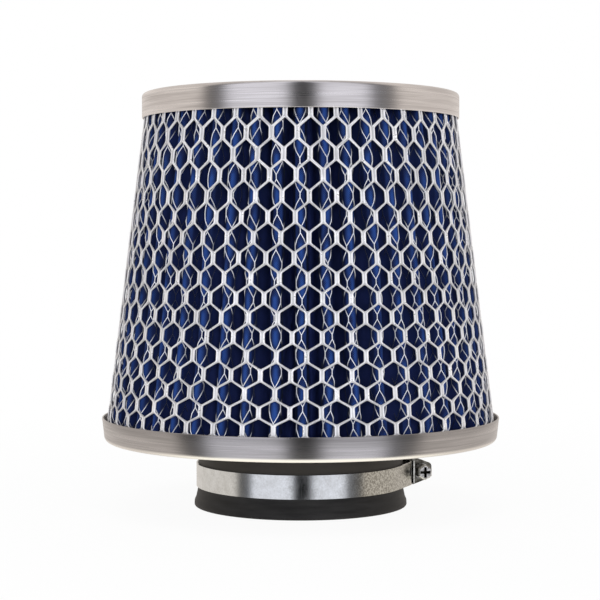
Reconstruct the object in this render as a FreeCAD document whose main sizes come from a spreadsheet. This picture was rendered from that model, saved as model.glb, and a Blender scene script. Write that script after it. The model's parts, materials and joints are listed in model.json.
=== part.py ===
"""Conical air filter: a pleated element in an expanded-metal cage, between pressed end caps,
on a rubber neck with a worm-drive clamp.

The origin is the centre of the neck's mouth, +Z points up to the closed cap, and the clamp's
housing stands near +X. Lengths are millimetres.
"""
import FreeCAD, Part
import Sketcher
import math
import os

from FreeCAD import Placement, Rotation, Vector

# Driving dimensions: millimetres, degrees and counts.
SIZES = {
    # whole filter
    "total_height": 161.6,
    "top_diameter": 124.4,
    "base_diameter": 156.2,
    "fit_gap": 0.1,
    # pressed end caps
    "cap_sheet": 0.6,
    "top_rim_height": 9.7,
    "top_corner": 1.5,
    "dish_margin": 4.0,
    "dish_depth": 1.5,
    "dish_slope": 2.0,
    "base_rim_height": 9.2,
    "base_rim_flare": 0.8,
    "base_corner": 2.0,
    # cast sealing rings
    "upper_potting_depth": 5.0,
    "lower_potting_depth": 5.0,
    "potting_lip": 3.0,
    # rubber neck
    "neck_height": 26.1,
    "neck_bore": 76.0,
    "neck_wall": 2.4,
    "lip_swell": 1.6,
    "lip_height": 7.7,
    "lip_land": 2.0,
    "lip_round": 0.6,
    "mouth_chamfer": 0.8,
    "flange_width": 9.6,
    "flange_thickness": 2.5,
    # expanded-metal cage
    "cage_sheet": 0.7,
    "cage_base_gap": 1.5,
    "cage_columns": 17,
    "cage_rows": 5,
    "cage_strand": 2.0,
    "cage_bond": 3.4,
    "cage_bond_length": 8.0,
    "cage_hem": 1.0,
    # support core
    "core_sheet": 0.6,
    "core_columns": 11,
    "core_rows": 3,
    "core_strand": 2.6,
    "core_bond": 4.0,
    "core_bond_length": 10.0,
    "core_hem": 6.0,
    # pleated element
    "pleat_count": 46,
    "pleat_depth": 19.0,
    "media_thickness": 1.2,
    "crest_width": 3.0,
    "valley_width": 1.0,
    "media_gap": 0.3,
    # worm-drive clamp
    "clamp_angle": 15.0,
    "band_width": 9.0,
    "band_lift": 0.1,
    "band_sheet": 0.6,
    "band_play": 0.2,
    "band_bend": 14.0,
    "band_tail": 4.0,
    "fixed_end": 1.5,
    "slot_length": 6.0,
    "slot_width": 1.2,
    "slot_pitch": 3.2,
    "slot_lead": 8.0,
    "slot_count": 30,
    "housing_length": 13.0,
    "housing_wall": 0.8,
    "housing_clear": 1.6,
    "housing_crown": 5.6,
    "housing_round": 1.8,
    "worm_diameter": 7.4,
    "worm_gap": 0.1,
    "shank_diameter": 4.6,
    "collar_diameter": 6.2,
    "collar_thickness": 1.2,
    "head_flats": 5.5,
    "head_height": 4.6,
    "head_chamfer": 0.5,
    "recess_span": 4.2,
    "recess_width": 1.1,
    "recess_depth": 2.0,
}

FIND_TOLERANCE = 0.001

doc = FreeCAD.newDocument("cone_air_filter")

dims = doc.addObject("Spreadsheet::Sheet", "dims")
for row, (alias, size) in enumerate(SIZES.items(), start=1):
    dims.set(f"A{row}", alias)
    dims.set(f"B{row}", str(size))
    dims.setAlias(f"B{row}", alias)
doc.recompute()

# Sizes that several pieces share, each worked out from the driving dimensions.
derived = doc.addObject("App::VarSet", "derived")


def derive(name, expression):
    """Add one shared size, bound to an expression on the sheet."""
    derived.addProperty("App::PropertyFloat", name)
    derived.setExpression(name, expression)
    derived.recompute()


derive("bore_r", "dims.neck_bore / 2")
derive("waist_r", "derived.bore_r + dims.neck_wall")
derive("base_floor", "dims.neck_height + dims.cap_sheet")
derive("base_rim_top", "dims.neck_height + dims.base_rim_height")
derive("base_top_r", "dims.base_diameter / 2")
derive("base_foot_r", "derived.base_top_r - dims.base_rim_flare")
derive("base_inner_r", "derived.base_foot_r - dims.cap_sheet")
derive("base_inner_corner", "max(dims.base_corner - dims.cap_sheet; dims.fit_gap)")
derive("flange_top", "derived.base_floor + dims.flange_thickness")
derive("flange_r", "derived.waist_r + dims.flange_width")
derive("seat_low", "derived.base_floor + dims.lower_potting_depth")
derive("seat_high", "dims.total_height - dims.cap_sheet - dims.upper_potting_depth")
derive("top_rim_low", "dims.total_height - dims.top_rim_height")
derive("top_r", "dims.top_diameter / 2")
derive("top_inner_r", "derived.top_r - dims.cap_sheet")
derive("top_inner_corner", "max(dims.top_corner - dims.cap_sheet; dims.fit_gap)")

# The cage's outside is a cone that passes just inside both rims' free edges.
derive("cage_rim_top_r", "derived.top_inner_r - dims.fit_gap")
derive("cage_rim_base_r", "derived.base_top_r - dims.cap_sheet - dims.cage_base_gap")
derive("cage_slope", "(derived.cage_rim_base_r - derived.cage_rim_top_r)"
                     " / (derived.top_rim_low - derived.base_rim_top)")
derive("cage_low_r", "derived.cage_rim_base_r + derived.cage_slope * (derived.base_rim_top - derived.seat_low)")
derive("cage_high_r", "derived.cage_rim_top_r - derived.cage_slope * (derived.seat_high - derived.top_rim_low)")

# The element's crests run just inside the cage's flats, and the core just inside its folds.
derive("cage_flat", "cos(180 deg / (2 * dims.cage_columns))")
derive("crest_low_r", "(derived.cage_low_r - dims.cage_sheet) * derived.cage_flat - dims.media_gap")
derive("crest_high_r", "(derived.cage_high_r - dims.cage_sheet) * derived.cage_flat - dims.media_gap")
derive("fold_low_r", "derived.crest_low_r - dims.pleat_depth")
derive("fold_high_r", "derived.crest_high_r - dims.pleat_depth")
derive("core_low_r", "derived.fold_low_r - dims.media_gap")
derive("core_high_r", "derived.fold_high_r - dims.media_gap")
derive("lower_potting_r", "derived.flange_r - dims.potting_lip")
derive("upper_potting_r", "derived.core_high_r - dims.core_sheet - dims.potting_lip")
derive("dish_r", "derived.upper_potting_r - dims.dish_margin")

# The clamp is drawn in a frame of its own: level at the band's middle, housing at +X.
derive("clamp_level", "dims.lip_height + dims.band_lift + dims.band_width / 2")
derive("ring_r", "derived.waist_r + dims.band_play")
derive("layer_one", "derived.waist_r + dims.housing_clear + dims.housing_wall + dims.fit_gap")
derive("layer_two", "derived.layer_one + dims.band_sheet + dims.fit_gap")
derive("worm_r", "dims.worm_diameter / 2")
derive("worm_x", "derived.layer_two + dims.band_sheet + dims.worm_gap + derived.worm_r")
derive("housing_half", "dims.band_width / 2 + dims.fit_gap + dims.housing_wall")
derive("housing_low", "derived.layer_one - dims.fit_gap - dims.housing_wall")
derive("housing_top", "derived.worm_x + derived.worm_r + dims.worm_gap + dims.housing_wall")
doc.recompute()


def bind(feature, **expressions):
    """Bind a feature's properties to expressions."""
    for name, expression in expressions.items():
        feature.setExpression(name, expression)


# Nothing is bound to this one, so reading a value through it leaves the pieces untouched.
trial = doc.addObject("App::VarSet", "trial")
trial.addProperty("App::PropertyFloat", "result")


def number(expression):
    """The present value of an expression, for a sketch's first drawing."""
    trial.setExpression("result", expression)
    trial.recompute()
    return trial.result


def new_body(label):
    """An empty PartDesign body named for its piece."""
    body = doc.addObject("PartDesign::Body", label)
    body.Label = label
    return body


def new_sketch(body, name, plane_role, depth="0"):
    """An empty sketch on one of the body's own origin planes, moved along its normal by a bound depth."""
    sketch = body.newObject("Sketcher::SketchObject", name)
    plane = next(item for item in body.Origin.OriginFeatures if item.Role == plane_role)
    sketch.AttachmentSupport = [(plane, "")]
    sketch.MapMode = "FlatFace"
    sketch.setExpression("AttachmentOffset.Base.z", depth)
    return sketch


def draw_outline(sketch, corners):
    """Draw a closed outline of straight edges, with every corner's place bound to its expressions."""
    places = [Vector(number(across), number(up), 0) for across, up in corners]
    first = sketch.GeometryCount
    for here, there in zip(places, places[1:] + places[:1]):
        sketch.addGeometry(Part.LineSegment(here, there), False)
    for index, (across, up) in enumerate(corners):
        edge = first + index
        following = first + (index + 1) % len(corners)
        sketch.addConstraint(Sketcher.Constraint("Coincident", edge, 2, following, 1))
        for kind, expression, value in (("DistanceX", across, places[index].x), ("DistanceY", up, places[index].y)):
            rule = sketch.addConstraint(Sketcher.Constraint(kind, -1, 1, edge, 1, value))
            sketch.setExpression(f"Constraints[{rule}]", expression)


def draw_circle(sketch, across, radius):
    """Draw a circle on the sketch's horizontal axis, with its place and radius bound."""
    circle = sketch.addGeometry(Part.Circle(Vector(number(across), 0, 0), Vector(0, 0, 1), number(radius)), False)
    place = sketch.addConstraint(Sketcher.Constraint("DistanceX", -1, 1, circle, 3, number(across)))
    sketch.setExpression(f"Constraints[{place}]", across)
    sketch.addConstraint(Sketcher.Constraint("PointOnObject", circle, 3, -1))
    size = sketch.addConstraint(Sketcher.Constraint("Radius", circle, number(radius)))
    sketch.setExpression(f"Constraints[{size}]", radius)


def turned(body, name, corners, plane_role="XZ_Plane"):
    """Revolve an outline of (radius, height) corners about the sketch's vertical axis."""
    sketch = new_sketch(body, name + "_outline", plane_role)
    draw_outline(sketch, corners)
    revolve = body.newObject("PartDesign::Revolution", name)
    revolve.Profile = sketch
    revolve.ReferenceAxis = (sketch, ["V_Axis"])
    revolve.Angle = 360
    doc.recompute()
    return revolve


def ring_edges(feature, radius, height):
    """Names of a feature's round edges of that radius at that height."""
    names = []
    for index, edge in enumerate(feature.Shape.Edges, start=1):
        curve = edge.Curve
        if not isinstance(curve, Part.Circle):
            continue
        if abs(curve.Radius - radius) < FIND_TOLERANCE and abs(curve.Center.z - height) < FIND_TOLERANCE:
            names.append(f"Edge{index}")
    return names


def rounded(body, name, base, edges, radius):
    """Fillet the named edges of a body's last feature by a bound radius."""
    fillet = body.newObject("PartDesign::Fillet", name)
    fillet.Base = (base, edges)
    fillet.setExpression("Radius", radius)
    doc.recompute()
    return fillet


def chamfered(body, name, base, edges, size):
    """Chamfer the named edges of a body's last feature by a bound size."""
    chamfer = body.newObject("PartDesign::Chamfer", name)
    chamfer.Base = (base, edges)
    chamfer.setExpression("Size", size)
    doc.recompute()
    return chamfer


def make_top_cap():
    """Pressed disc with a straight rim and a shallow dish in its face."""
    body = new_body("top_cap")
    face = "dims.total_height"
    under = "dims.total_height - dims.cap_sheet"
    dish_face = "dims.total_height - dims.dish_depth"
    dish_under = "dims.total_height - dims.dish_depth - dims.cap_sheet"
    dish_foot = "derived.dish_r - dims.dish_slope"
    sheet = turned(body, "top_cap_sheet", [
        ("derived.top_r", "derived.top_rim_low"),
        ("derived.top_r", face),
        ("derived.dish_r", face),
        (dish_foot, dish_face),
        ("0", dish_face),
        ("0", dish_under),
        (dish_foot, dish_under),
        ("derived.dish_r", under),
        ("derived.top_inner_r", under),
        ("derived.top_inner_r", "derived.top_rim_low"),
    ])
    outer = ring_edges(sheet, derived.top_r, number(face))
    corner = rounded(body, "top_cap_corner", sheet, outer, "dims.top_corner")
    inner = ring_edges(corner, derived.top_inner_r, number(under))
    rounded(body, "top_cap_inner_corner", corner, inner, "derived.top_inner_corner")
    return body


def make_base_cap():
    """Pressed ring with a flared rim, open in the middle for the neck."""
    body = new_body("base_cap")
    hole = "derived.waist_r + dims.fit_gap"
    sheet = turned(body, "base_cap_sheet", [
        (hole, "dims.neck_height"),
        ("derived.base_foot_r", "dims.neck_height"),
        ("derived.base_top_r", "derived.base_rim_top"),
        ("derived.base_top_r - dims.cap_sheet", "derived.base_rim_top"),
        ("derived.base_inner_r", "derived.base_floor"),
        (hole, "derived.base_floor"),
    ])
    outer = ring_edges(sheet, derived.base_foot_r, dims.neck_height)
    corner = rounded(body, "base_cap_corner", sheet, outer, "dims.base_corner")
    inner = ring_edges(corner, derived.base_inner_r, derived.base_floor)
    rounded(body, "base_cap_inner_corner", corner, inner, "derived.base_inner_corner")
    return body


def make_upper_potting():
    """Cast ring under the top cap that the cage, element and core end in."""
    body = new_body("upper_potting")
    roof = "dims.total_height - dims.cap_sheet"
    wall = "derived.top_inner_r - dims.fit_gap"
    turned(body, "upper_potting_ring", [
        ("derived.upper_potting_r", "derived.seat_high"),
        (wall, "derived.seat_high"),
        (wall, roof + " - derived.top_inner_corner"),
        (wall + " - derived.top_inner_corner", roof),
        ("derived.upper_potting_r", roof),
    ])
    return body


def make_lower_potting():
    """Cast ring in the base that holds the neck's flange down and seats the element."""
    body = new_body("lower_potting")
    wall = "derived.base_inner_r - dims.fit_gap"
    flange_side = "derived.flange_r + dims.fit_gap"
    flare = "(dims.base_rim_flare / dims.base_rim_height)"
    turned(body, "lower_potting_ring", [
        (flange_side, "derived.base_floor"),
        (wall + " - derived.base_inner_corner", "derived.base_floor"),
        (wall, "derived.base_floor + derived.base_inner_corner"),
        (wall + f" + {flare} * (dims.lower_potting_depth - derived.base_inner_corner)", "derived.seat_low"),
        ("derived.lower_potting_r", "derived.seat_low"),
        ("derived.lower_potting_r", "derived.flange_top"),
        (flange_side, "derived.flange_top"),
    ])
    return body


def make_rubber_neck():
    """Moulded tube that flares to a lip at its mouth, with a flange inside the base."""
    body = new_body("rubber_neck")
    lip_r = "derived.waist_r + dims.lip_swell"
    tube = turned(body, "neck_tube", [
        ("derived.bore_r", "0"),
        (lip_r, "0"),
        (lip_r, "dims.lip_land"),
        ("derived.waist_r", "dims.lip_height"),
        ("derived.waist_r", "derived.base_floor"),
        ("derived.flange_r", "derived.base_floor"),
        ("derived.flange_r", "derived.flange_top"),
        ("derived.bore_r", "derived.flange_top"),
    ])
    lip_edges = ring_edges(tube, number(lip_r), 0)
    lip_edges += ring_edges(tube, number(lip_r), number("dims.lip_land"))
    lip = rounded(body, "neck_lip", tube, lip_edges, "min(dims.lip_round; dims.lip_land / 2.5)")
    mouth = ring_edges(lip, derived.bore_r, 0)
    chamfered(body, "neck_mouth", lip, mouth, "dims.mouth_chamfer")
    return body


def faceted_cone(sides, low_r, high_r):
    """Solid with flat sides between two regular polygons, standing between the two potting faces."""
    levels = ((low_r, derived.seat_low), (high_r, derived.seat_high))
    low, high = [
        [Vector(radius * math.cos(math.tau * side / sides), radius * math.sin(math.tau * side / sides), level)
         for side in range(sides)]
        for radius, level in levels
    ]
    outlines = [low, high]
    for side in range(sides):
        outlines.append([low[side - 1], low[side], high[side], high[side - 1]])
    faces = [Part.Face(Part.makePolygon(points + points[:1])) for points in outlines]
    return Part.Solid(Part.Shell(faces))


def opening_outline(pitch, spacing, bond, bond_length, strand):
    """Half-width, side height and apex height of one hexagon opening between strands."""
    lean = (spacing - bond_length) / (pitch / 2)
    apex = spacing - bond_length / 2 - strand / 2 * math.hypot(1, lean)
    half = (pitch - bond) / 2
    return half, apex - lean * half, apex


def mesh_openings(name, low_r, high_r, sheet):
    """Cutters for rows of staggered hexagon openings, with half openings along both ends.

    The name picks the mesh's own columns, rows, strand and bond sizes from the sheet.
    """
    columns = int(dims.get(f"{name}_columns"))
    rows = int(dims.get(f"{name}_rows"))
    bond = dims.get(f"{name}_bond")
    bond_length = dims.get(f"{name}_bond_length")
    strand = dims.get(f"{name}_strand")
    low = derived.seat_low + dims.get(f"{name}_hem")
    high = derived.seat_high - dims.get(f"{name}_hem")
    spacing = (high - low) / (rows + 1)
    slope = (low_r - high_r) / (derived.seat_high - derived.seat_low)
    step = 2 * math.pi / columns
    cutters = []
    for row in range(rows + 2):
        level = low + row * spacing
        radius = low_r - slope * (level - derived.seat_low)
        half, side, apex = opening_outline(radius * step, spacing, bond, bond_length, strand)
        below = [] if row == 0 else [(half, -side), (0, -apex), (-half, -side)]
        above = [] if row == rows + 1 else [(-half, side), (0, apex), (half, side)]
        flat_low = [(half, 0), (-half, 0)] if row == 0 else []
        flat_high = [(-half, 0), (half, 0)] if row == rows + 1 else []
        corners = flat_low + above + flat_high + below
        reach = 2 * sheet + slope * 2 * apex + radius * (1 - math.cos(step / 2))
        points = [Vector(radius - reach, across, level + up) for across, up in corners]
        face = Part.Face(Part.makePolygon(points + points[:1]))
        cutter = face.extrude(Vector(2 * reach, 0, 0))
        for column in range(columns):
            turn = math.degrees(step) * (column + (row % 2) / 2)
            cutters.append(cutter.rotated(Vector(), Vector(0, 0, 1), turn))
    return cutters


def make_mesh(label, name, low_r, high_r):
    """Expanded-metal cone: a faceted thin wall with staggered hexagon openings between its strands."""
    sheet = dims.get(f"{name}_sheet")
    facets = 2 * int(dims.get(f"{name}_columns"))
    wall = doc.addObject("Part::Feature", f"{name}_wall")
    wall.Shape = faceted_cone(facets, low_r, high_r).cut(faceted_cone(facets, low_r - sheet, high_r - sheet))
    openings = doc.addObject("Part::Feature", f"{name}_openings")
    openings.Shape = Part.makeCompound(mesh_openings(name, low_r, high_r, sheet))
    mesh = doc.addObject("Part::Cut", label)
    mesh.Base = wall
    mesh.Tool = openings
    mesh.Label = label
    return mesh


def pleat_section(crest_r, fold_r, crest_half, fold_half, level):
    """Closed star outline: a flat crest and a flat fold for each pleat."""
    step = 2 * math.pi / dims.pleat_count
    points = []
    for pleat in range(int(dims.pleat_count)):
        for centre, radius, half in ((pleat, crest_r, crest_half), (pleat + 0.5, fold_r, fold_half)):
            for side in (-1, 1):
                angle = centre * step + side * half / radius
                points.append(Vector(radius * math.cos(angle), radius * math.sin(angle), level))
    return Part.makePolygon(points + points[:1])


def make_pleated_media():
    """Gauze folded into pleats, one sheet thick, tapering with the cage."""
    thick = dims.media_thickness
    crest = dims.crest_width / 2
    fold = dims.valley_width / 2
    pitch = math.pi * (derived.crest_low_r + derived.fold_low_r) / dims.pleat_count
    lean = math.atan((pitch / 2 - crest - fold) / (dims.pleat_depth - thick))
    tuck = thick * (1 / math.cos(lean) - math.tan(lean))
    ends = ((derived.crest_low_r, derived.fold_low_r, derived.seat_low),
            (derived.crest_high_r, derived.fold_high_r, derived.seat_high))
    outer = [pleat_section(crest_r, fold_r + thick, crest, fold, level) for crest_r, fold_r, level in ends]
    inner = [pleat_section(crest_r - thick, fold_r, crest - tuck, fold + tuck, level)
             for crest_r, fold_r, level in ends]
    pack = doc.addObject("Part::Feature", "pleated_media")
    pack.Label = "pleated_media"
    pack.Shape = Part.makeLoft(outer, True, True).cut(Part.makeLoft(inner, True, True))
    return pack


def tangent_angle(bend_x, bend_y, ring_r, bend_r):
    """Direction of the normal of the line that touches the bend and the ring on the same side."""
    return abs(math.atan2(bend_y, bend_x)) + math.acos((ring_r - bend_r) / math.hypot(bend_x, bend_y))


def band_edge(offset):
    """One long edge of the strap's plan, from its fixed end round the neck to its free tail."""
    half = dims.housing_length / 2
    ring = derived.ring_r + offset
    bend = dims.band_bend + offset
    first_x = derived.layer_one - dims.band_bend
    last_x = derived.layer_two - dims.band_bend
    leave = tangent_angle(first_x, half, derived.ring_r, dims.band_bend)
    arrive = tangent_angle(last_x, half, derived.ring_r, dims.band_bend)

    def on(centre_x, centre_y, radius, angle):
        return Vector(centre_x + radius * math.cos(angle), centre_y + radius * math.sin(angle), 0)

    start = Vector(derived.layer_one + offset, half - dims.fixed_end, 0)
    finish = Vector(derived.layer_two + offset, -half - dims.band_tail, 0)
    first = [on(first_x, -half, bend, angle) for angle in (0, -leave / 2, -leave)]
    around = [on(0, 0, ring, angle) for angle in (-leave, math.pi, arrive)]
    last = [on(last_x, half, bend, angle) for angle in (arrive, arrive / 2, 0)]
    return [
        Part.LineSegment(start, first[0]),
        Part.Arc(*first),
        Part.LineSegment(first[2], around[0]),
        Part.Arc(*around),
        Part.LineSegment(around[2], last[0]),
        Part.Arc(*last),
        Part.LineSegment(last[2], finish),
    ]


def band_slots():
    """Slanted boxes through the strap for the worm, from its tail back along the free end."""
    middle = [curve.toShape() for curve in reversed(band_edge(dims.band_sheet / 2))]
    slots = []
    for index in range(int(dims.slot_count)):
        travel = (index + 1) * dims.slot_pitch
        for edge in middle:
            if travel < edge.Length:
                break
            travel -= edge.Length
        where = edge.getParameterByLength(edge.Length - travel)
        along = edge.tangentAt(where)
        outward = along.cross(Vector(0, 0, 1))
        slot = Part.makeBox(dims.slot_width, dims.slot_length, 4 * dims.band_sheet,
                            Vector(-dims.slot_width / 2, -dims.slot_length / 2, -2 * dims.band_sheet))
        slot.rotate(Vector(), Vector(0, 0, 1), dims.slot_lead)
        slot.Placement = Placement(edge.valueAt(where), Rotation(along, Vector(0, 0, 1), outward)) * slot.Placement
        slots.append(slot)
    return slots


def make_clamp_band():
    """Strap of thin steel round the neck, its free end running over its fixed end in the housing."""
    inner = band_edge(0)
    outer = band_edge(dims.band_sheet)
    fixed_end = Part.LineSegment(outer[0].StartPoint, inner[0].StartPoint)
    free_end = Part.LineSegment(inner[-1].EndPoint, outer[-1].EndPoint)
    plan = doc.addObject("Part::Feature", "band_plan")
    edges = [curve.toShape() for curve in inner + [free_end] + outer + [fixed_end]]
    plan.Shape = Part.Face(Part.Wire(Part.sortEdges(edges)[0]))
    strap = doc.addObject("Part::Extrusion", "band_strap")
    strap.Base = plan
    strap.DirMode = "Custom"
    strap.Dir = Vector(0, 0, 1)
    strap.Symmetric = True
    strap.setExpression("LengthFwd", "dims.band_width")
    slots = doc.addObject("Part::Feature", "band_slots")
    slots.Shape = Part.makeCompound(band_slots())
    band = doc.addObject("Part::Cut", "clamp_band")
    band.Base = strap
    band.Tool = slots
    band.Label = "clamp_band"
    return band


def pocket(body, name, sketch, depth):
    """Cut a sketch's outline towards +Y from its plane, and make sure that it took material away."""
    before = body.Shape.Volume
    cut = body.newObject("PartDesign::Pocket", name)
    cut.Profile = sketch
    cut.setExpression("Length", depth)
    doc.recompute()
    if body.Shape.Volume >= before:
        raise RuntimeError(f"{name} cuts nothing")
    return cut


def make_clamp_housing():
    """Pressed saddle and dome that both layers of the strap and the worm run through."""
    body = new_body("clamp_housing")
    front = "dims.housing_length / 2"
    shoulder = "derived.layer_two + dims.band_sheet + dims.housing_wall"
    outline = new_sketch(body, "housing_outline", "XZ_Plane", "-dims.housing_length / 2")
    draw_outline(outline, [
        ("derived.housing_low", "-derived.housing_half"),
        (shoulder, "-derived.housing_half"),
        ("derived.housing_top", "-dims.housing_crown / 2"),
        ("derived.housing_top", "dims.housing_crown / 2"),
        (shoulder, "derived.housing_half"),
        ("derived.housing_low", "derived.housing_half"),
    ])
    block = body.newObject("PartDesign::Pad", "housing_block")
    block.Profile = outline
    bind(block, Length="dims.housing_length")
    doc.recompute()
    ridges = [f"Edge{index}" for index, edge in enumerate(block.Shape.Edges, start=1)
              if edge.BoundBox.XMin > derived.housing_top - FIND_TOLERANCE
              and edge.BoundBox.YLength > FIND_TOLERANCE]
    rounded(body, "housing_dome", block, ridges, "min(dims.housing_round; dims.housing_crown / 2.1)")

    slot = new_sketch(body, "strap_slot_outline", "XZ_Plane", front)
    slot_half = "dims.band_width / 2 + dims.fit_gap"
    slot_low = "derived.layer_one - dims.fit_gap"
    slot_high = "derived.layer_two + dims.band_sheet + dims.fit_gap"
    draw_outline(slot, [
        (slot_low, f"-({slot_half})"),
        (slot_high, f"-({slot_half})"),
        (slot_high, slot_half),
        (slot_low, slot_half),
    ])
    pocket(body, "strap_slot", slot, "dims.housing_length")

    worm_bore = new_sketch(body, "worm_bore_outline", "XZ_Plane", front + " - dims.housing_wall")
    draw_circle(worm_bore, "derived.worm_x", "derived.worm_r + dims.worm_gap")
    pocket(body, "worm_bore", worm_bore, "dims.housing_length - 2 * dims.housing_wall")

    shank_hole = new_sketch(body, "shank_hole_outline", "XZ_Plane", front)
    draw_circle(shank_hole, "derived.worm_x", "dims.shank_diameter / 2 + dims.worm_gap")
    pocket(body, "shank_hole", shank_hole, "dims.housing_length")
    return body


def make_clamp_screw():
    """Worm screw: worm between the housing's end walls, shank, collar and hexagon head with a cross recess."""
    body = new_body("clamp_screw")
    shank_r = "dims.shank_diameter / 2"
    collar_r = "dims.collar_diameter / 2"
    rear = "dims.housing_length / 2"
    worm_half = f"{rear} - dims.housing_wall - dims.worm_gap"
    collar_back = f"{rear} + dims.worm_gap"
    head_back = f"{collar_back} + dims.collar_thickness"
    head_end = f"{head_back} + dims.head_height"
    turned(body, "screw_worm", [
        ("0", rear),
        (shank_r, rear),
        (shank_r, worm_half),
        ("derived.worm_r", worm_half),
        ("derived.worm_r", f"-({worm_half})"),
        (shank_r, f"-({worm_half})"),
        (shank_r, f"-({collar_back})"),
        (collar_r, f"-({collar_back})"),
        (collar_r, f"-({head_back})"),
        ("0", f"-({head_back})"),
    ], "XY_Plane")

    corner = "dims.head_flats / sqrt(3)"
    flat = "dims.head_flats / 2"
    hexagon = new_sketch(body, "screw_head_outline", "XZ_Plane", head_back)
    draw_outline(hexagon, [
        ("0", corner),
        (f"-{flat}", f"{corner} / 2"),
        (f"-{flat}", f"-{corner} / 2"),
        ("0", f"-{corner}"),
        (flat, f"-{corner} / 2"),
        (flat, f"{corner} / 2"),
    ])
    head = body.newObject("PartDesign::Pad", "screw_head")
    head.Profile = hexagon
    bind(head, Length="dims.head_height")
    doc.recompute()
    end_face = -number(head_end)
    rim = [f"Edge{index}" for index, edge in enumerate(head.Shape.Edges, start=1)
           if abs(edge.BoundBox.YMax - end_face) < FIND_TOLERANCE]
    chamfered(body, "screw_head_chamfer", head, rim, "dims.head_chamfer")

    span = "dims.recess_span / 2"
    arm = "dims.recess_width / 2"
    cross = new_sketch(body, "cross_recess_outline", "XZ_Plane", head_end)
    draw_outline(cross, [
        (span, f"-{arm}"), (span, arm), (arm, arm), (arm, span), (f"-{arm}", span), (f"-{arm}", arm),
        (f"-{span}", arm), (f"-{span}", f"-{arm}"), (f"-{arm}", f"-{arm}"), (f"-{arm}", f"-{span}"),
        (arm, f"-{span}"), (arm, f"-{arm}"),
    ])
    pocket(body, "cross_recess", cross, "dims.recess_depth")
    return body


def set_on_neck(piece, reach="0"):
    """Turn a clamp piece to its place round the neck, its own origin at a bound reach from the axis."""
    piece.Placement = Placement(Vector(), Rotation(Vector(0, 0, 1), 1))
    piece.setExpression("Placement.Rotation.Angle", "dims.clamp_angle * 1 deg")
    piece.setExpression("Placement.Base.x", f"{reach} * cos(dims.clamp_angle * 1 deg)")
    piece.setExpression("Placement.Base.y", f"{reach} * sin(dims.clamp_angle * 1 deg)")
    piece.setExpression("Placement.Base.z", "derived.clamp_level")
    return piece


pieces = [
    make_top_cap(),
    make_base_cap(),
    make_upper_potting(),
    make_lower_potting(),
    make_rubber_neck(),
    set_on_neck(make_clamp_housing()),
    set_on_neck(make_clamp_screw(), "derived.worm_x"),
    set_on_neck(make_clamp_band()),
    make_pleated_media(),
    make_mesh("inner_mesh", "core", derived.core_low_r, derived.core_high_r),
    make_mesh("outer_mesh", "cage", derived.cage_low_r, derived.cage_high_r),
]

doc.recompute()

for item in doc.Objects:
    if "Invalid" in item.State or "Error" in item.State:
        raise RuntimeError(f"{item.Label} failed: {item.State}")
for piece in pieces:
    if piece.Shape.isNull() or not piece.Shape.isValid():
        raise RuntimeError(f"{piece.Label} has no valid shape")

os.makedirs("parts", exist_ok=True)
for piece in pieces:
    piece.Shape.exportStep(os.path.join("parts", piece.Label + ".step"))
    print(piece.Label, len(piece.Shape.Solids), round(piece.Shape.Volume, 1))
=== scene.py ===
import json
import math

import bmesh
import bpy
from mathutils import Matrix, Vector, noise


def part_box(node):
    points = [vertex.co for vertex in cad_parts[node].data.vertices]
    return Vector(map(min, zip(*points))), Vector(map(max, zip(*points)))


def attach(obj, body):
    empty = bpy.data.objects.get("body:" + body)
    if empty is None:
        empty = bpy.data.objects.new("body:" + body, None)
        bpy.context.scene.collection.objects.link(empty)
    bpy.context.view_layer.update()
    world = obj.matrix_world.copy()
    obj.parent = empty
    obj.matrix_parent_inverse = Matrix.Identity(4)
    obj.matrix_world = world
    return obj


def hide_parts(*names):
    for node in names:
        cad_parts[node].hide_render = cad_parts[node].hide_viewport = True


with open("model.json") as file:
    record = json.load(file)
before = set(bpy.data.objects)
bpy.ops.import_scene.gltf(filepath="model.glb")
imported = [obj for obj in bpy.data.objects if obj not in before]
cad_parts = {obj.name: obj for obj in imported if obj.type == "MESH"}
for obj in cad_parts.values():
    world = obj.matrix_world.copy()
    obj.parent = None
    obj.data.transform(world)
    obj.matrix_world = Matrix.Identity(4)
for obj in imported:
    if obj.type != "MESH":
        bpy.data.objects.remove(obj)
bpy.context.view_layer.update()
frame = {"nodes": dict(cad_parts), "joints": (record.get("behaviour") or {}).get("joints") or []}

# Lengths are metres in the model's frame: +Z up the filter's axis, the camera on the -Y side.
MM = 0.001
TAU = math.tau
FILTER = "filter"

# Sheet sizes that the model's boxes don't give.
CAP_SHEET = 0.6 * MM
CAP_CORNER = 1.5 * MM
BASE_CORNER = 2.0 * MM
BASE_FLARE = 0.8 * MM
FIT_GAP = 0.1 * MM
CAGE_GROOVE = 0.3 * MM

TOP_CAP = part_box("top_cap")
TOP_R = TOP_CAP[1].x
TOP_RIM_LOW = TOP_CAP[0].z
TOP_FACE = TOP_CAP[1].z
BASE_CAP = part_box("base_cap")
BASE_R = BASE_CAP[1].x
BASE_UNDER = BASE_CAP[0].z
BASE_RIM_TOP = BASE_CAP[1].z
SEAT_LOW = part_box("outer_mesh")[0].z
SEAT_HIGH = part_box("outer_mesh")[1].z
CAGE_LOW_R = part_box("outer_mesh")[1].x
CAGE_RIM_R = TOP_R - CAP_SHEET - FIT_GAP
CAGE_SLOPE = (CAGE_LOW_R - CAGE_RIM_R) / (TOP_RIM_LOW - SEAT_LOW)
CORE_LOW_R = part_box("inner_mesh")[1].x
CORE_HIGH_R = max(vert.co.xy.length for vert in frame["nodes"]["inner_mesh"].data.vertices
                  if vert.co.z > SEAT_HIGH - 0.1 * MM)
STRAP_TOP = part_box("clamp_band")[1].z

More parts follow.
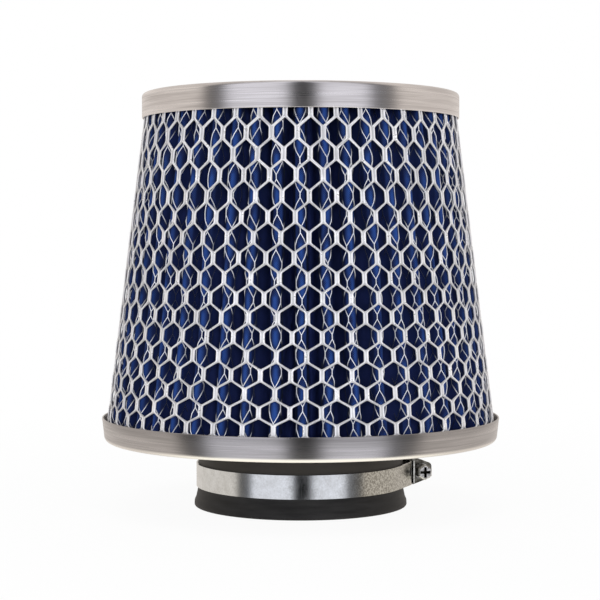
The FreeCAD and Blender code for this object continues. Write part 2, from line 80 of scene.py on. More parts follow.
# Cells of the wire screen that is folded with the gauze.
SCREEN_WIDE = 5.2 * MM
SCREEN_TALL = 12.6 * MM
SCREEN_LOW = SEAT_LOW + 1.0 * MM
SCREEN_HIGH = SEAT_HIGH - 1.0 * MM

# Pleats: crests at even angles, round at the crest and the fold.
PLEATS = 46
PLEAT_PITCH = TAU / PLEATS
PLEAT_DEPTH = 19 * MM
CREST_ROUND = 1.9 * MM
FOLD_ROUND = 0.7 * MM
PLEAT_TURN = math.radians(0.12)
CREST_GAP = 1.35 * MM
CREST_SINK = 0.35 * MM
CREST_WANDER = 0.12
GAUZE_SHEET = 1.0 * MM
QUARTER = CREST_ROUND * math.pi / 2
FLANK = PLEAT_DEPTH - CREST_ROUND - FOLD_ROUND
FOLD_QUARTER = FOLD_ROUND * math.pi / 2
PLEAT_HALF = QUARTER + FLANK + FOLD_QUARTER


class Socket:
    """An output of a shader node that takes part in Python arithmetic."""

    def __init__(self, graph, output):
        self.graph = graph
        self.output = output

    def math(self, operation, *others):
        return self.graph.out(self.graph.node("ShaderNodeMath", {"operation": operation}, (self, *others)))

    def __add__(self, other):
        return self.math("ADD", other)

    def __mul__(self, other):
        return self.math("MULTIPLY", other)

    def __sub__(self, other):
        return self.math("SUBTRACT", other)

    def __rsub__(self, other):
        return self.graph.out(self.graph.node("ShaderNodeMath", {"operation": "SUBTRACT"}, (other, self)))

    __rmul__ = __mul__


class Graph:
    """Adds nodes to one node tree and links them."""

    def __init__(self, tree):
        self.tree = tree

    def node(self, kind, settings=None, values=(), **sockets):
        """Add a node: its settings first, then values or links by place or by socket name."""
        made = self.tree.nodes.new(kind)
        for name, value in (settings or {}).items():
            setattr(made, name, value)
        for index, value in enumerate(values):
            self.feed(made.inputs[index], value)
        for name, value in sockets.items():
            self.feed(made.inputs[name.replace("_", " ")], value)
        return made

    def feed(self, socket, value):
        if isinstance(value, Socket):
            self.tree.links.new(value.output, socket)
        else:
            socket.default_value = value

    def out(self, made, name=0):
        return Socket(self, made.outputs[name])

    def place(self):
        """X, Y and Z of the piece's own coordinates."""
        coordinates = self.out(self.node("ShaderNodeTexCoord"), "Object")
        split = self.node("ShaderNodeSeparateXYZ", Vector=coordinates)
        return [self.out(split, axis) for axis in "XYZ"]

    def vector(self, x, y, z):
        return self.out(self.node("ShaderNodeCombineXYZ", X=x, Y=y, Z=z))

    def noise(self, vector, scale, detail=3.0, roughness=0.55):
        made = self.node("ShaderNodeTexNoise", Vector=vector, Scale=scale, Detail=detail, Roughness=roughness)
        return self.out(made, "Fac")

    def span(self, value, low, high, to_low=0.0, to_high=1.0):
        """Map a range of a value to another range, clamped."""
        made = self.node("ShaderNodeMapRange", None, (value, low, high, to_low, to_high))
        return self.out(made)

    def blend(self, factor, first, second):
        """Mix two colours."""
        factor_in, first_in, second_in, colour_out = 0, 6, 7, 2
        made = self.node("ShaderNodeMix", {"data_type": "RGBA"})
        self.feed(made.inputs[factor_in], factor)
        self.feed(made.inputs[first_in], first)
        self.feed(made.inputs[second_in], second)
        return self.out(made, colour_out)

    def bump(self, height, strength, distance):
        return self.out(self.node("ShaderNodeBump", Height=height, Strength=strength, Distance=distance))


def new_material(name):
    """An empty material with its graph and its surface shader."""
    material = bpy.data.materials.new(name)
    material.use_nodes = True
    return material, Graph(material.node_tree), material.node_tree.nodes["Principled BSDF"]


def dress(graph, shader, **sockets):
    """Set or link the surface shader's sockets."""
    for name, value in sockets.items():
        graph.feed(shader.inputs[name.replace("_", " ")], value)


def from_axis(x, y):
    """Distance from the filter's axis, in a graph."""
    return (x * x + y * y).math("SQRT")


def brushed_sheet(name, dull, bright, stain_top=None):
    """Pressed steel brushed round the axis. A rim's height gives an oil stain there and a painted reflection
    of the pale floor on the lower corner.
    """
    material, graph, shader = new_material(name)
    x, y, z = graph.place()
    radius = from_axis(x, y)
    fine = graph.noise(graph.vector(x * 30, y * 30, (radius + z) * 2600), 1.0, 3.0, 0.6)
    broad = graph.noise(graph.vector(x * 18, y * 18, (radius + z) * 620), 1.0, 2.0)
    grain = fine * 0.6 + broad * 0.4
    colour = graph.blend(graph.span(grain, 0.3, 0.7), dull, bright)
    if stain_top:
        oil = (0.20, 0.19, 0.19, 1)
        ragged = z + grain * (1.5 * MM)
        stain = graph.span(ragged, stain_top - 2.4 * MM, stain_top - 0.6 * MM, 0.0, 0.35)
        colour = graph.blend(stain, colour, oil)
        # Painted reflection: the lower corner's colour is lifted to the cream of the pale floor it faces.
        painted_floor_reflection = (0.86, 0.84, 0.80, 1)
        floor_reflection_mask = graph.span(z, BASE_UNDER + 1.0 * MM, BASE_UNDER + 1.8 * MM, 1.0, 0.0)
        floor_reflection_mask = floor_reflection_mask * graph.span(radius, BASE_R - 4.0 * MM, BASE_R - 2.6 * MM)
        colour = graph.blend(floor_reflection_mask, colour, painted_floor_reflection)
    dress(graph, shader, Base_Color=colour, Metallic=1.0,
          Roughness=graph.span(grain, 0.3, 0.7, 0.34, 0.24), Anisotropic=0.8, Anisotropic_Rotation=0.25,
          Normal=graph.bump(grain, 0.16, 0.12 * MM))
    return material


def bright_mesh():
    """Bright expanded sheet, a little uneven in tone, with painted shade greying the grooves of the cage's
    bonds and the sheet's inner face.
    """
    material, graph, shader = new_material("bright_mesh")
    x, y, z = graph.place()
    spots = graph.noise(graph.vector(x, y, z), 420.0, 2.0)
    colour = graph.blend(graph.span(spots, 0.3, 0.7), (0.80, 0.80, 0.83, 1), (0.96, 0.96, 0.98, 1))
    depth = cage_radius(z) - from_axis(x, y)
    # Painted shade: grey where the surface sinks below the cone, in the bond grooves and on the sheet's inner
    # face.
    groove = graph.span(depth, 0.14 * MM, CAGE_GROOVE, 0.0, 0.6) * graph.span(depth, 1 * MM, 2 * MM, 1.0, 0.0)
    colour = graph.blend(groove, colour, (0.36, 0.36, 0.38, 1))
    dress(graph, shader, Base_Color=colour, Metallic=0.55, Roughness=graph.span(spots, 0.3, 0.7, 0.38, 0.26),
          Normal=graph.bump(spots, 0.15, 0.1 * MM))
    return material


def screen_wire():
    """Fine wire laid over the gauze, bright on the crests, with painted shade darkening it down the flanks.
    """
    material, graph, shader = new_material("screen_wire")
    x, y, z = graph.place()
    depth = cage_radius(z) - from_axis(x, y)
    bright = (0.88, 0.89, 0.93, 1)
    # Painted shade: the wire turns near black as it runs deeper down the flanks.
    flank_shade = (0.012, 0.016, 0.035, 1)
    colour = graph.blend(graph.span(depth, 2.3 * MM, 3.9 * MM), bright, flank_shade)
    dress(graph, shader, Base_Color=colour, Metallic=0.5, Roughness=0.34)
    return material


def blue_gauze():
    """Oiled cotton gauze: a weave that follows the pleats, with painted light on the crests, brightest in
    patches between the wires, and painted shade on the crests' shoulders.
    """
    material, graph, shader = new_material("blue_gauze")
    chart = graph.out(graph.node("ShaderNodeUVMap"), "UV")
    split = graph.node("ShaderNodeSeparateXYZ", Vector=chart)
    across, along = graph.out(split, "X"), graph.out(split, "Y")
    threads_per_metre = 1250
    warp = (across * (TAU * threads_per_metre)).math("SINE")
    weft = (along * (TAU * threads_per_metre)).math("SINE")
    weave = warp * weft * 0.5 + 0.5
    cloud = graph.noise(graph.vector(across, along, 0.0), 110.0, 6.0, 0.7)
    tone = weave * 0.25 + cloud * 0.75
    run = across.math("PINGPONG", PLEAT_HALF)
    # Painted light: lit patches on the crest in a grid between the wires, shifted a little down each cell.
    lit_patch_shift = 0.6
    lit_patch_across = (across * (TAU / SCREEN_WIDE)).math("COSINE")
    lit_patch_along = ((along - SCREEN_LOW) * (TAU / SCREEN_TALL) + lit_patch_shift).math("COSINE")
    lit_patch_tone = tone - lit_patch_across * lit_patch_along * 0.2
    # The cloth's colour is painted by its run from the crest: a lit crest tone with painted light, darker
    # painted shade on the shoulders, and a middle tone down the flanks and folds.
    deep = graph.blend(graph.span(tone, 0.3, 0.7), (0.010, 0.016, 0.064, 1), (0.021, 0.033, 0.135, 1))
    shoulder_shade = graph.blend(graph.span(tone, 0.3, 0.7), (0.0035, 0.006, 0.028, 1), (0.007, 0.014, 0.064, 1))
    crest = graph.blend(graph.span(lit_patch_tone, 0.38, 0.64), (0.0035, 0.008, 0.041, 1), (0.013, 0.046, 0.20, 1))
    colour = graph.blend(graph.span(run, 0.2 * MM, 2.5 * MM), crest, shoulder_shade)
    colour = graph.blend(graph.span(run, 4.0 * MM, 9.0 * MM), colour, deep)
    dress(graph, shader, Base_Color=colour, Roughness=0.72, Normal=graph.bump(weave, 0.5, 0.15 * MM),
          Specular_IOR_Level=0.2)
    return material


def black_rubber():
    """Moulded black rubber, dull and streaked, with dust on it above the strap."""
    material, graph, shader = new_material("black_rubber")
    x, y, z = graph.place()
    bloom = graph.noise(graph.vector(x * 0.4, y * 0.4, z * 3), 160.0, 4.0)
    pits = graph.noise(graph.vector(x, y, z), 1800.0, 2.0)
    black = (0.0045, 0.0044, 0.0044, 1)
    faded = (0.018, 0.0177, 0.0178, 1)
    dust = (0.036, 0.032, 0.027, 1)
    colour = graph.blend(graph.span(bloom, 0.35, 0.7), black, faded)
    dusty = graph.span(z, STRAP_TOP - 1 * MM, STRAP_TOP + 1 * MM) * graph.span(bloom, 0.2, 0.6, 0.6, 1.0)
    colour = graph.blend(dusty, colour, dust)
    dress(graph, shader, Base_Color=colour, Roughness=graph.span(bloom, 0.3, 0.7, 0.5, 0.62),
          Normal=graph.bump(pits, 0.25, 0.1 * MM), Specular_IOR_Level=0.35)
    return material


def zinc_steel():
    """Zinc-plated strap steel, cloudy, and tarnished towards the housing."""
    material, graph, shader = new_material("zinc_steel")
    x, y, z = graph.place()
    place = graph.vector(x, y, z)
    cloud = graph.noise(place, 260.0, 4.0, 0.6)
    speck = graph.noise(place, 1500.0, 3.0, 0.6)
    tone = cloud * 0.6 + speck * 0.4
    colour = graph.blend(graph.span(tone, 0.35, 0.65), (0.64, 0.655, 0.645, 1), (0.80, 0.83, 0.835, 1))
    tarnish = graph.blend(graph.span(speck, 0.4, 0.6), (0.29, 0.28, 0.245, 1), (0.60, 0.595, 0.545, 1))
    colour = graph.blend(graph.span(x + cloud * (8 * MM), 20 * MM, 28 * MM), colour, tarnish)
    dress(graph, shader, Base_Color=colour, Metallic=1.0, Roughness=graph.span(tone, 0.35, 0.65, 0.22, 0.12),
          Normal=graph.bump(speck, 0.06, 0.1 * MM))
    return material


def dull_and_shaded_steel():
    """Dull plating of the pressed housing, darkened partly for its own dull zinc and partly as painted shade.
    """
    material, graph, shader = new_material("dull_and_shaded_steel")
    x, y, z = graph.place()
    cloud = graph.noise(graph.vector(x, y, z), 520.0, 4.0, 0.6)
    # Painted shade: the housing's colour is darkened as if it sat in shade, on top of its own dull tone.
    colour = graph.blend(graph.span(cloud, 0.35, 0.65), (0.035, 0.032, 0.022, 1), (0.26, 0.25, 0.215, 1))
    dress(graph, shader, Base_Color=colour, Metallic=1.0, Roughness=graph.span(cloud, 0.35, 0.65, 0.45, 0.25),
          Normal=graph.bump(cloud, 0.15, 0.1 * MM))
    return material


def screw_steel(screw, joint):
    """Plated screw, with painted shade darkening the recess of its head and the thread."""
    material, graph, shader = new_material("screw_steel")
    centre = Vector(joint["pos_m"])
    axis = Vector(joint["axis"]).normalized()
    face = max((vert.co - centre).dot(axis) for vert in screw.data.vertices)
    x, y, z = graph.place()
    place = graph.vector(x - centre.x, y - centre.y, z - centre.z)
    dot = graph.node("ShaderNodeVectorMath", {"operation": "DOT_PRODUCT"}, (place, tuple(axis)))
    along = graph.out(dot, "Value")
    depth = face - along
    cloud = graph.noise(graph.vector(x, y, z), 700.0, 3.0, 0.6)
    colour = graph.blend(graph.span(cloud, 0.35, 0.65), (0.20, 0.195, 0.18, 1), (0.72, 0.715, 0.69, 1))
    reach = graph.out(graph.node("ShaderNodeVectorMath", {"operation": "LENGTH"}, (place,)), "Value")
    off_axis = (reach * reach - along * along).math("SQRT")
    # Painted shade: the head's recess and the thread inside the housing are darkened.
    recess = graph.span(depth, 0.1 * MM, 0.3 * MM) * graph.span(off_axis, 2.2 * MM, 2.4 * MM, 1.0, 0.0)
    thread = graph.span(depth, 4.4 * MM, 5.2 * MM, 0.0, 0.8)
    recess_shade_colour = (0.012, 0.011, 0.009, 1)
    colour = graph.blend(recess.math("MAXIMUM", thread), colour, recess_shade_colour)
    dress(graph, shader, Base_Color=colour, Metallic=1.0, Roughness=0.28)
    return material


def cast_potting():
    """Dark cast sealing compound."""
    material, graph, shader = new_material("cast_potting")
    x, y, z = graph.place()
    cloud = graph.noise(graph.vector(x, y, z), 200.0, 3.0)
    colour = graph.blend(graph.span(cloud, 0.3, 0.7), (0.014, 0.014, 0.017, 1), (0.028, 0.028, 0.033, 1))
    dress(graph, shader, Base_Color=colour, Roughness=0.5)
    return material


def new_piece(name, bm, material, node=None, sharp=32.0):
    """Make a piece from a bmesh, smooth apart from its sharp edges, riding on the filter."""
    for face in bm.faces:
        face.smooth = True
    for edge in bm.edges:
        if len(edge.link_faces) == 2 and edge.calc_face_angle() > math.radians(sharp):
            edge.smooth = False
    mesh = bpy.data.meshes.new(name)
    bm.to_mesh(mesh)
    bm.free()
    mesh.materials.append(material)
    piece = bpy.data.objects.new(name, mesh)
    bpy.context.scene.collection.objects.link(piece)
    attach(piece, FILTER)
    if node:
        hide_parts(node)
    return piece


def arc(centre_r, centre_z, radius, start, end, steps=6):
    """Points of a round corner in a (radius, height) outline, angles in degrees."""
    turns = [math.radians(start + (end - start) * step / steps) for step in range(steps + 1)]
    return [(centre_r + radius * math.cos(turn), centre_z + radius * math.sin(turn)) for turn in turns]


def turned(outline, steps=288):
    """A closed (radius, height) outline spun round the axis."""
    bm = bmesh.new()
    corners = [bm.verts.new((radius, 0, height)) for radius, height in outline]
    edges = [bm.edges.new(pair) for pair in zip(corners, corners[1:] + corners[:1])]
    bmesh.ops.spin(bm, geom=corners + edges, cent=(0, 0, 0), axis=(0, 0, 1), angle=TAU, steps=steps,
                   use_merge=True)
    bmesh.ops.remove_doubles(bm, verts=bm.verts, dist=0.001 * MM)
    bmesh.ops.recalc_face_normals(bm, faces=bm.faces)
    return bm


def make_top_cap(metal):
    """Pressed cap: straight rim with a rolled edge, round corner and a shallow dish."""
    dish_r = 33 * MM
    dish_foot = 31 * MM
    dish_floor = TOP_FACE - 1.5 * MM
    dish_round = 0.8 * MM
    edge = CAP_SHEET / 2
    inner_corner = CAP_CORNER - CAP_SHEET
    outline = arc(TOP_R - edge, TOP_RIM_LOW + edge, edge, 180, 360)
    outline += arc(TOP_R - CAP_CORNER, TOP_FACE - CAP_CORNER, CAP_CORNER, 0, 90, 8)
    outline += arc(dish_r, TOP_FACE - dish_round, dish_round, 90, 140, 4)
    outline += arc(dish_foot, dish_floor + dish_round, dish_round, 320, 270, 4)
    outline += [(0, dish_floor), (0, dish_floor - CAP_SHEET), (dish_foot, dish_floor - CAP_SHEET)]
    outline += [(dish_r, TOP_FACE - CAP_SHEET)]
    outline += arc(TOP_R - CAP_CORNER, TOP_FACE - CAP_CORNER, inner_corner, 90, 0, 5)
    return new_piece("top_cap_shell", turned(outline), metal, "top_cap")


def make_base_cap(metal):
    """Pressed base: flat ring, round corner and a slightly flared rim."""
    flange_reach = 9.6 * MM
    hole_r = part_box("rubber_neck")[1].x - flange_reach + FIT_GAP
    foot_r = BASE_R - BASE_FLARE
    edge = CAP_SHEET / 2
    inner_corner = BASE_CORNER - CAP_SHEET
    floor = BASE_UNDER + CAP_SHEET
    outline = [(hole_r, BASE_UNDER)]
    outline += arc(foot_r - BASE_CORNER, BASE_UNDER + BASE_CORNER, BASE_CORNER, 270, 355, 8)
    outline += arc(BASE_R - edge, BASE_RIM_TOP - edge, edge, 0, 180)
    outline += arc(foot_r - BASE_CORNER, BASE_UNDER + BASE_CORNER, inner_corner, 355, 270, 5)
    outline += [(hole_r, floor)]
    return new_piece("base_cap_shell", turned(outline), metal, "base_cap")


def make_neck(rubber):
    """Moulded neck: flared lip at the mouth, plain waist, and the flange inside the base."""
    flange_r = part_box("rubber_neck")[1].x
    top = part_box("rubber_neck")[1].z
    bore = 38 * MM
    waist = 40.4 * MM
    lip_r = 42 * MM
    lip_land = 2 * MM
    flare_top = 7.7 * MM
    lip_round = 0.6 * MM
    lip_draft = 0.08 * MM
    mouth = 0.8 * MM
    floor = BASE_UNDER + CAP_SHEET
    outline = [(bore, mouth), (bore + mouth, 0)]
    outline += arc(lip_r - lip_round, lip_round, lip_round, 270, 360)
    outline += [(lip_r - lip_draft, lip_land)]
    outline += [(waist + 0.9 * MM, lip_land + 1.5 * MM), (waist + 0.3 * MM, flare_top - 1.4 * MM)]
    outline += [(waist, flare_top)]
    outline += [(waist, floor), (flange_r, floor), (flange_r, top), (bore, top)]
    return new_piece("neck_moulding", turned(outline), rubber, "rubber_neck")


def cage_radius(height):
    """Outside radius of the cage's cone."""
    return CAGE_LOW_R - CAGE_SLOPE * (height - SEAT_LOW)


def cage_twist(height):
    """Turn of the cage's columns at a height, in columns: the sheet was rolled a little askew."""
    return 0.39 - 0.25 * (BASE_UNDER + 125 * MM - height) / (115 * MM)


def core_radius(height):
    """Outside radius of the support core's cone."""
    return CORE_LOW_R + (CORE_HIGH_R - CORE_LOW_R) * (height - SEAT_LOW) / (SEAT_HIGH - SEAT_LOW)


def on_cone(angle, radius, height):
    """A point at an angle from the camera's side towards +X."""
    return Vector((radius * math.sin(angle), -radius * math.cos(angle), height))


def make_hexagon_mesh(name, node, metal, columns, groove, sheet, radius_at, twist):
    """Expanded metal on a cone: hexagon cells inset to strands, with cut corners and wider, grooved bonds."""
    first_row = BASE_UNDER + 124.8 * MM
    bond = 3.7 * MM
    side = 6.18 * MM
    strand = 0.46 * MM
    bond_width = 1.5 * MM
    corner_cut = 0.45 * MM
    edge_cut = 0.16 * MM
    sharp_turn = 1.0
    upright = 0.9
    ripple = 0.12 * MM
    ripples_per_metre = 90
    ripple_seed = 1
    pitch = TAU / columns
    levels = [first_row]
    while levels[-1] > SEAT_LOW - 2 * bond:
        half = radius_at(levels[-1]) * pitch / 2
        levels.append(levels[-1] - bond - math.sqrt(side * side - half * half))
    levels.insert(0, first_row + levels[0] - levels[1])

    def bond_angle(row, place):
        return pitch * (place + 0.5 * ((row - 1) % 2) + twist(levels[row]))

    def corner(bm, row, place, up):
        height = levels[row] + up * bond / 2
        return bm.verts.new(on_cone(bond_angle(row, place), radius_at(height), height))

    bm = bmesh.new()
    for row in range(1, len(levels) - 1):
        before = (row - 1) % 2
        ring = [corner(bm, row, 0, -1), corner(bm, row + 1, before, 1), corner(bm, row, 1, -1),
                corner(bm, row, 1, 1), corner(bm, row - 1, before, -1), corner(bm, row, 0, 1)]
        cell = bm.faces.new(ring)
        bmesh.ops.spin(bm, geom=[cell], cent=(0, 0, 0), axis=(0, 0, 1), angle=TAU, steps=columns,
                       use_duplicate=True)
        bmesh.ops.delete(bm, geom=[cell], context="FACES")
    bmesh.ops.remove_doubles(bm, verts=bm.verts, dist=0.01 * MM)
    bmesh.ops.recalc_face_normals(bm, faces=bm.faces)
    joints = [vert for vert in bm.verts if len(vert.link_faces) == 3]
    bmesh.ops.bevel(bm, geom=joints, offset=corner_cut, offset_type="OFFSET", segments=1, profile=0.5,
                    affect="VERTICES", material=-1, clamp_overlap=True)
    web = 2 * corner_cut * corner_cut
    holes = [face for face in bm.faces if face.calc_area() > web]
    bmesh.ops.inset_individual(bm, faces=holes, thickness=strand / 2, use_even_offset=True)
    spare = (bond_width - strand) / 2
    for hole in holes:
        centre = hole.calc_center_median()
        around = Vector((-centre.y, centre.x, 0)).normalized()
        half = pitch * centre.xy.length / 2
        climb = spare * math.sqrt(side * side - half * half) / half
        for vert in hole.verts:
            reach = (vert.co - centre).dot(around)
            beside_bond = abs(reach) > 0.4 * half
            if beside_bond:
                vert.co -= around * math.copysign(spare, reach)
                vert.co.z += math.copysign(climb, vert.co.z - centre.z)
                vert.co.xy *= radius_at(vert.co.z) / vert.co.xy.length
    rims = {edge for hole in holes for edge in hole.edges}
    for edge in bm.edges:
        if edge not in rims and abs((edge.verts[0].co - edge.verts[1].co).normalized().z) > upright:
            for vert in edge.verts:
                vert.co.xy *= 1 - groove / vert.co.xy.length
    bmesh.ops.delete(bm, geom=holes, context="FACES")
    for level, inner in ((SEAT_LOW, True), (SEAT_HIGH, False)):
        bmesh.ops.bisect_plane(bm, geom=bm.verts[:] + bm.edges[:] + bm.faces[:], plane_co=(0, 0, level),
                               plane_no=(0, 0, 1), clear_inner=inner, clear_outer=not inner, dist=0.001 * MM)
    bmesh.ops.recalc_face_normals(bm, faces=bm.faces)
    if bm.faces[0].normal.dot(Vector((*bm.faces[0].calc_center_median().xy, 0))) < 0:
        bmesh.ops.reverse_faces(bm, faces=bm.faces)
    bmesh.ops.solidify(bm, geom=bm.faces[:], thickness=sheet)
    bmesh.ops.recalc_face_normals(bm, faces=bm.faces)
    noise.seed_set(ripple_seed)
    for vert in bm.verts:
        vert.co += noise.noise_vector(vert.co * ripples_per_metre) * ripple
    ridges = [edge for edge in bm.edges if len(edge.link_faces) == 2 and edge.calc_face_angle() > sharp_turn]
    bmesh.ops.bevel(bm, geom=ridges, offset=edge_cut, offset_type="OFFSET", segments=1, profile=0.5,
                    affect="EDGES", material=-1, clamp_overlap=True)
    return new_piece(name, bm, metal, node, sharp=60)


def gauze_point(pleat, run, height, lift=0.0):
    """A point on a pleat, by its run along the folded sheet from the crest, lifted off the sheet."""
    wander = noise.noise(Vector((pleat * 7.31, height * 30, 0.5)))
    sink = CREST_SINK * (0.5 + 0.5 * noise.noise(Vector((pleat * 3.17, height * 55, 8.5))))
    crest_r = cage_radius(height) - CREST_GAP - sink
    fold_r = crest_r - PLEAT_DEPTH
    side = math.copysign(1.0, run)
    length = abs(run)
    fold_side = fold_r * PLEAT_PITCH / 2 - FOLD_ROUND
    if length <= QUARTER:
        turn = length / CREST_ROUND
        sideways = (CREST_ROUND + lift) * math.sin(turn)
        depth = CREST_ROUND - (CREST_ROUND + lift) * math.cos(turn)
    elif length <= QUARTER + FLANK:
        share = (length - QUARTER) / FLANK
        sideways = CREST_ROUND + (fold_side - CREST_ROUND) * share + lift
        depth = CREST_ROUND + FLANK * share
    else:
        turn = (length - QUARTER - FLANK) / FOLD_ROUND
        sideways = fold_side + FOLD_ROUND * (1 - math.cos(turn))
        depth = CREST_ROUND + FLANK + FOLD_ROUND * math.sin(turn)
    radius = crest_r - depth
    calm = 1 - min(depth / PLEAT_DEPTH, 1)
    angle = PLEAT_TURN + pleat * PLEAT_PITCH + side * sideways / radius
    angle += calm * wander * CREST_WANDER * PLEAT_PITCH
    return on_cone(angle, radius, height)


def make_gauze(cloth):
    """The folded sheet: a grid bent round crests, flanks and folds."""
    columns = 16
    rows = 36
    stops = ((0, -PLEAT_HALF), (1, -QUARTER - FLANK), (4, -QUARTER), (12, QUARTER), (15, QUARTER + FLANK),
             (16, PLEAT_HALF))
    bm = bmesh.new()
    bmesh.ops.create_grid(bm, x_segments=PLEATS * columns, y_segments=rows, size=0.5)
    chart = bm.loops.layers.uv.new("cloth")
    runs = {}
    for vert in bm.verts:
        step = (vert.co.x + 0.5) * PLEATS * columns
        pleat = min(int((step + 0.001) / columns), PLEATS - 1)
        local = step - pleat * columns
        for (low, low_run), (high, high_run) in zip(stops, stops[1:]):
            if local <= high + 0.001:
                run = low_run + (high_run - low_run) * (local - low) / (high - low)
                break
        runs[vert] = (pleat, run, SEAT_LOW + (SEAT_HIGH - SEAT_LOW) * (vert.co.y + 0.5))
    for face in bm.faces:
        for loop in face.loops:
            pleat, run, height = runs[loop.vert]
            loop[chart].uv = (pleat * 2 * PLEAT_HALF + run, height)
    for vert, (pleat, run, height) in runs.items():
        vert.co = gauze_point(pleat, run, height)
    bmesh.ops.remove_doubles(bm, verts=bm.verts, dist=0.05 * MM)
    bmesh.ops.recalc_face_normals(bm, faces=bm.faces)
    bmesh.ops.solidify(bm, geom=bm.faces[:], thickness=GAUZE_SHEET)
    bmesh.ops.recalc_face_normals(bm, faces=bm.faces)
    return new_piece("gauze_pleats", bm, cloth, "pleated_media", sharp=70)


def make_screen(wire):
    """Hexagon wire screen folded with the gauze: strands that run side by side at each bond, then part."""
    bond_half = 0.8 * MM
    strand_r = 0.17 * MM
    reach = 7.0 * MM
    most_slip = 1.2 * MM
    middle = SCREEN_TALL / 2
    steps = ((-bond_half, 0.0), (bond_half, 0.0), (SCREEN_TALL / 4, 0.5), (middle - bond_half, 1.0),
             (middle + bond_half, 1.0), (SCREEN_TALL * 3 / 4, 0.5))
    curve = bpy.data.curves.new("screen", "CURVE")
    curve.dimensions = "3D"
    curve.bevel_depth = strand_r
    curve.bevel_resolution = 0
    curve.use_fill_caps = True

    def add_wire(points):
        if len(points) < 2:
            return
        spline = curve.splines.new("POLY")
        spline.points.add(len(points) - 1)
        for target, point in zip(spline.points, points):
            target.co = (*point, 1.0)

    for pleat in range(PLEATS):
        shift = (pleat * 2 * PLEAT_HALF) % SCREEN_WIDE
        slip = most_slip * noise.noise(Vector((pleat * 2.71, 4.5, 0.5)))
        count = int(reach / SCREEN_WIDE) + 2
        for strand in range(-count, count + 1):
            for lean in (1, -1):
                points = []
                for cell in range(int((SCREEN_HIGH - SCREEN_LOW) / SCREEN_TALL) + 2):
                    for rise, part in steps:
                        height = SCREEN_LOW + slip + cell * SCREEN_TALL + rise
                        run = strand * SCREEN_WIDE - shift + lean * part * SCREEN_WIDE / 2
                        if SCREEN_LOW <= height <= SCREEN_HIGH and abs(run) <= reach:
                            points.append(gauze_point(pleat, run, height, strand_r))
                        else:
                            add_wire(points)
                            points = []
                add_wire(points)
    carrier = bpy.data.objects.new("screen_path", curve)
    mesh = bpy.data.meshes.new_from_object(carrier)
    bpy.data.objects.remove(carrier)
    bm = bmesh.new()
    bm.from_mesh(mesh)
    bpy.data.meshes.remove(mesh)
    return new_piece("pleat_screen", bm, wire, sharp=80)


def make_camera():
    """Camera at the photograph's place: level with the upper part, tipped a little down."""
    distance = 667.6 * MM
    height = BASE_UNDER + 78 * MM
    focal_px = 1690.0
    horizon_px = 241.0
    axis_px = 300.6
    picture_px = 600.0
    data = bpy.data.cameras.new("camera")
    data.sensor_width = 36.0
    data.lens = focal_px / picture_px * data.sensor_width
    data.clip_start = 0.01
    camera = bpy.data.objects.new("camera", data)
    aside = (picture_px / 2 - axis_px) / focal_px * distance
    camera.location = (aside, -distance, height)
    camera.rotation_euler = (math.pi / 2 - math.atan((picture_px / 2 - horizon_px) / focal_px), 0, 0)
    bpy.context.scene.collection.objects.link(camera)
    bpy.context.scene.camera = camera


def make_floor():
    """Plain white floor that keeps a faint shadow and is clear from below."""
    bm = bmesh.new()
    bmesh.ops.create_grid(bm, x_segments=1, y_segments=1, size=3.0)
    mesh = bpy.data.meshes.new("floor")
    bm.to_mesh(mesh)
    bm.free()
    floor = bpy.data.objects.new("floor", mesh)
    bpy.context.scene.collection.objects.link(floor)
    material = bpy.data.materials.new("white_floor")
    material.use_nodes = True
    graph = Graph(material.node_tree)
    material.node_tree.nodes.clear()
    rays = graph.node("ShaderNodeLightPath")
    seen = graph.out(rays, "Is Camera Ray").math("MAXIMUM", graph.out(rays, "Is Glossy Ray"))
    seen = seen.math("MAXIMUM", graph.out(rays, "Is Transmission Ray"))
    paint = graph.out(graph.node("ShaderNodeBsdfDiffuse", Color=(0.86, 0.86, 0.86, 1)))
    glow = graph.out(graph.node("ShaderNodeEmission", Color=(1, 1, 1, 1), Strength=1.0))
    x, y, _ = graph.place()
    far = graph.span(from_axis(x, y), 0.06, 0.4, 0.93, 1.0)
    mixed = graph.out(graph.node("ShaderNodeMixShader", None, (seen * far, paint, glow)))
    under = graph.out(graph.node("ShaderNodeNewGeometry"), "Backfacing")
    clear = graph.out(graph.node("ShaderNodeBsdfTransparent"))
    one_sided = graph.node("ShaderNodeMixShader", None, (under, mixed, clear))
    graph.node("ShaderNodeOutputMaterial", Surface=graph.out(one_sided))
    mesh.materials.append(material)
    floor.visible_glossy = False


def soft_lamp(name, place, size, power, target=(0, 0, 0.09)):
    """A large rectangular studio lamp aimed at the filter."""
    data = bpy.data.lights.new(name, "AREA")
    data.shape = "RECTANGLE"
    data.size, data.size_y = size
    data.energy = power
    lamp = bpy.data.objects.new(name, data)
    lamp.visible_glossy = False
    aim = (Vector(place) - Vector(target)).to_track_quat("Z", "Y")
    lamp.matrix_world = Matrix.Translation(place) @ aim.to_matrix().to_4x4()
    bpy.context.scene.collection.objects.link(lamp)


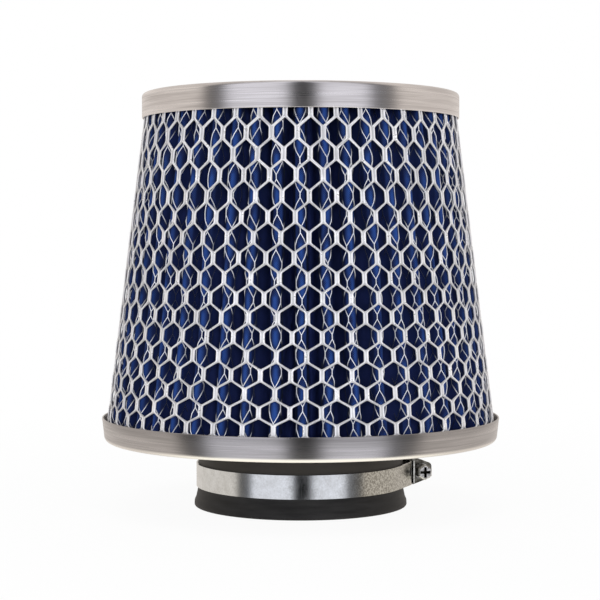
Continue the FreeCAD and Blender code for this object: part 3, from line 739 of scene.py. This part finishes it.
def make_light():
    """White studio: pale surroundings with darker gaps between the soft boxes, and five lamps."""
    world = bpy.data.worlds.new("studio")
    bpy.context.scene.world = world
    world.use_nodes = True
    graph = Graph(world.node_tree)
    surface = world.node_tree.nodes["Background"]
    way = graph.node("ShaderNodeSeparateXYZ", Vector=graph.out(graph.node("ShaderNodeTexCoord"), "Generated"))
    x, y, z = [graph.out(way, axis) for axis in "XYZ"]
    turn = x.math("ARCTAN2", y * -1.0) * (360 / TAU)
    dark_gaps = ((2, 7, 13, 1.0), (-64, 5, 13, 0.85), (61, 6, 15, 0.8))
    mirrored = 0.95
    ambient = 0.42
    bounce = 1.4
    level = 1.0
    for centre, flat, reach, depth in dark_gaps:
        level = level - graph.span((turn - centre).math("ABSOLUTE"), flat, reach, depth, 0.0)
    sides = graph.span(turn.math("ABSOLUTE"), 58, 72)
    tint = graph.blend(sides, (0.93, 0.93, 1.0, 1), (0.80, 0.74, 0.69, 1))
    below = graph.span(z, -0.6, -0.85)
    tint = graph.blend(below, tint, (1.0, 0.97, 0.88, 1))
    level = level + (bounce - level) * below
    rays = graph.node("ShaderNodeLightPath")
    camera = graph.out(rays, "Is Camera Ray")
    glossy = graph.out(rays, "Is Glossy Ray")
    strength = camera + (1 - camera) * (glossy * level * mirrored + (1 - glossy) * ambient)
    graph.feed(surface.inputs["Color"], graph.blend(glossy, (1, 1, 1, 1), tint))
    graph.feed(surface.inputs["Strength"], strength)
    soft_lamp("left_box", (-0.75, -0.85, 0.65), (0.6, 0.9), 1.4)
    soft_lamp("right_box", (0.75, -0.85, 0.65), (0.6, 0.9), 1.4)
    soft_lamp("top_box", (0, -0.1, 1.2), (0.9, 0.9), 5.0)
    soft_lamp("front_fill", (0.1, -1.3, 0.25), (0.4, 0.4), 11.0)
    soft_lamp("rear_box", (-0.1, 1.3, 0.4), (0.6, 0.6), 7.0)


def main():
    scene = bpy.context.scene
    scene.view_settings.view_transform = "Standard"
    cap_metal = brushed_sheet("brushed_cap", (0.50, 0.475, 0.47, 1), (0.94, 0.915, 0.91, 1))
    # The base uses a darker copy of the brushed sheet: painted shade that holds down the light spread onto
    # its rim.
    base_metal = brushed_sheet("brushed_base", (0.34, 0.33, 0.325, 1), (0.62, 0.60, 0.60, 1), BASE_RIM_TOP)
    mesh_metal = bright_mesh()
    rubber = black_rubber()
    steel = zinc_steel()
    potting = cast_potting()
    screw = screw_steel(frame["nodes"]["clamp_screw"], frame["joints"][0])
    for node, material in (("upper_potting", potting), ("lower_potting", potting), ("clamp_band", steel),
                           ("clamp_housing", dull_and_shaded_steel()), ("clamp_screw", screw)):
        slots = frame["nodes"][node].data.materials
        slots.clear()
        slots.append(material)
    make_top_cap(cap_metal)
    make_base_cap(base_metal)
    make_neck(rubber)
    make_hexagon_mesh("hexagon_cage", "outer_mesh", mesh_metal, columns=42, groove=CAGE_GROOVE,
                      sheet=0.6 * MM, radius_at=cage_radius, twist=cage_twist)
    make_hexagon_mesh("hexagon_core", "inner_mesh", mesh_metal, columns=31, groove=0.2 * MM,
                      sheet=0.5 * MM, radius_at=core_radius, twist=lambda height: 0.0)
    make_gauze(blue_gauze())
    make_screen(screen_wire())
    make_floor()
    make_light()
    make_camera()


main()
